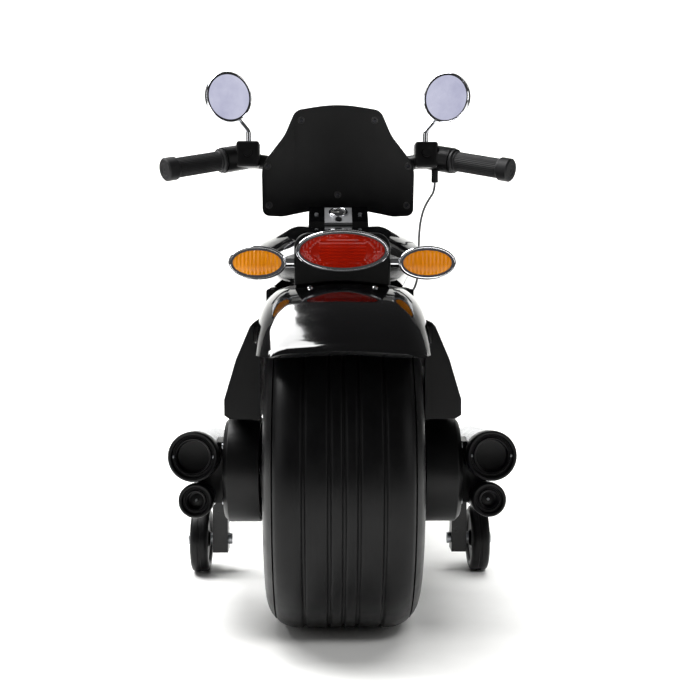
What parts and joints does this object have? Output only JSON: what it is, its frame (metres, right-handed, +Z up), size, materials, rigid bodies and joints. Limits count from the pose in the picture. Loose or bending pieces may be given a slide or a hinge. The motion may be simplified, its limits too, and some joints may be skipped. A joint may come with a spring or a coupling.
{
  "type": "kids electric motorbike",
  "caption": "Low cruiser style ride-on electric motorbike for a child, with wide ribbed rear wheel, stabiliser wheels, turning fork and bars, mirrors and lamps.",
  "frame": {"origin": "on the ground under the middle of the bike's length", "axes": "+Z up, +Y towards the front wheel, +X to the rider's right"},
  "size_m": [0.5216, 1.0249, 0.6937],
  "materials": {
    "tyre": "satin black moulded tyre",
    "wheel_plastic": "satin black moulded wheel",
    "gloss_black": "glossy black body panel",
    "satin_black": "satin black moulded plastic",
    "grip_rubber": "ribbed black rubber",
    "chrome": "bright chrome plating",
    "mirror": "mirror glass",
    "silver_plastic": "silver painted plastic",
    "red_lens": "clear red ribbed plastic",
    "amber_lens": "clear amber faceted plastic",
    "clear_lens": "clear lens over a bright reflector",
    "button_plastic": "moulded push button",
    "frame_steel": "black painted steel",
    "steel": "zinc plated steel",
    "gear_plastic": "pale gear plastic",
    "battery_case": "sealed battery case",
    "seat": "black padded seat cover"
  },
  "bodies": {
    "chassis": {"main_frame": "frame_steel", "rear_arms": "frame_steel", "head_bushes": "satin_black", "body_shell_left": "gloss_black", "body_shell_right": "gloss_black", "tank_shell": "gloss_black", "console_plate": "silver_plastic", "seat_cushion": "seat", "rear_fender": "gloss_black", "tail_housing": "satin_black", "tail_lens": "red_lens", "lamp_bezels": "chrome", "signal_lenses": "amber_lens", "side_cover_left": "gloss_black", "side_cover_right": "gloss_black", "drum_cover_left": "satin_black", "drum_cover_right": "satin_black", "muffler_left": "silver_plastic", "muffler_right": "silver_plastic", "exhaust_tips": "satin_black", "stabiliser_brackets": "frame_steel", "stabiliser_bolts": "steel", "rear_axle": "steel", "gearbox_case": "satin_black", "motor": "steel", "battery": "battery_case", "control_box": "satin_black", "charge_socket": "satin_black", "footrests": "satin_black", "cover_screws": "steel", "throttle_cable": "grip_rubber", "cable_grommet": "satin_black"},
    "steering": {"steering_stem": "frame_steel", "fork_legs": "frame_steel", "front_axle": "steel", "front_fender": "gloss_black", "handlebar": "frame_steel", "grip_left": "grip_rubber", "switch_box_left": "satin_black", "switch_box_right": "satin_black", "fairing_panel": "satin_black", "fairing_shell": "gloss_black", "headlight": "clear_lens", "panel_screws": "steel"},
    "front_wheel": {"front_tyre": "tyre", "front_rim": "wheel_plastic"},
    "rear_wheel": {"rear_tyre": "tyre", "rear_rim": "wheel_plastic", "drive_gear": "gear_plastic"},
    "motor_rotor": {"motor_pinion": "gear_plastic"},
    "stabiliser_left": {"stabiliser_wheel_left": "wheel_plastic"},
    "stabiliser_right": {"stabiliser_wheel_right": "wheel_plastic"},
    "throttle": {"throttle_grip": "grip_rubber"},
    "horn": {"horn_button": "button_plastic"},
    "lights": {"light_button": "button_plastic"},
    "power": {"power_button": "button_plastic"},
    "mirror_left": {"mirror_arm_left": "chrome", "mirror_glass_left": "mirror"},
    "mirror_right": {"mirror_arm_right": "chrome", "mirror_glass_right": "mirror"}
  },
  "joints": [
    {"name": "steering_turn", "type": "hinge", "parent": "chassis", "child": "steering", "pos_m": [0, 0.33085, 0.1475], "axis": [0, -0.5, 0.866], "range_deg": [-30, 30], "deforming": ["throttle_cable"]},
    {"name": "front_wheel_spin", "type": "hinge", "parent": "steering", "child": "front_wheel", "pos_m": [0, 0.3525, 0.16], "axis": [-1, 0, 0], "continuous": true},
    {"name": "rear_wheel_spin", "type": "hinge", "parent": "chassis", "child": "rear_wheel", "pos_m": [0, -0.3375, 0.175], "axis": [-1, 0, 0], "continuous": true},
    {"name": "pinion_spin", "type": "hinge", "parent": "chassis", "child": "motor_rotor", "pos_m": [0, -0.3375, 0.225], "axis": [-1, 0, 0], "continuous": true},
    {"name": "stabiliser_left_spin", "type": "hinge", "parent": "chassis", "child": "stabiliser_left", "pos_m": [-0.184, -0.1185, 0.043], "axis": [-1, 0, 0], "continuous": true},
    {"name": "stabiliser_right_spin", "type": "hinge", "parent": "chassis", "child": "stabiliser_right", "pos_m": [0.184, -0.1185, 0.043], "axis": [-1, 0, 0], "continuous": true},
    {"name": "throttle_twist", "type": "hinge", "parent": "steering", "child": "throttle", "pos_m": [0.152, 0.10783, 0.56768], "axis": [0.7978, -0.5711, -0.1932], "range_deg": [0, 60], "stiffness_Nm_per_rad": 0.2},
    {"name": "horn_press", "type": "slide", "parent": "steering", "child": "horn", "axis": [0, 1, 0], "range_m": [0, 0.002], "stiffness_N_per_m": 400},
    {"name": "lights_press", "type": "slide", "parent": "steering", "child": "lights", "axis": [0, 1, 0], "range_m": [0, 0.002], "stiffness_N_per_m": 400},
    {"name": "power_press", "type": "slide", "parent": "chassis", "child": "power", "axis": [0, 0.4848, -0.8746], "range_m": [0, 0.002], "stiffness_N_per_m": 400},
    {"name": "mirror_left_swivel", "type": "hinge", "parent": "steering", "child": "mirror_left", "pos_m": [-0.134, 0.11213, 0.58233], "axis": [0, 0, 1], "range_deg": [-25, 25]},
    {"name": "mirror_right_swivel", "type": "hinge", "parent": "steering", "child": "mirror_right", "pos_m": [0.132, 0.11261, 0.58207], "axis": [0, 0, 1], "range_deg": [-25, 25]}
  ],
  "couplings": [
    {"joint": "pinion_spin", "follows": "rear_wheel_spin", "ratio": -4}
  ]
}
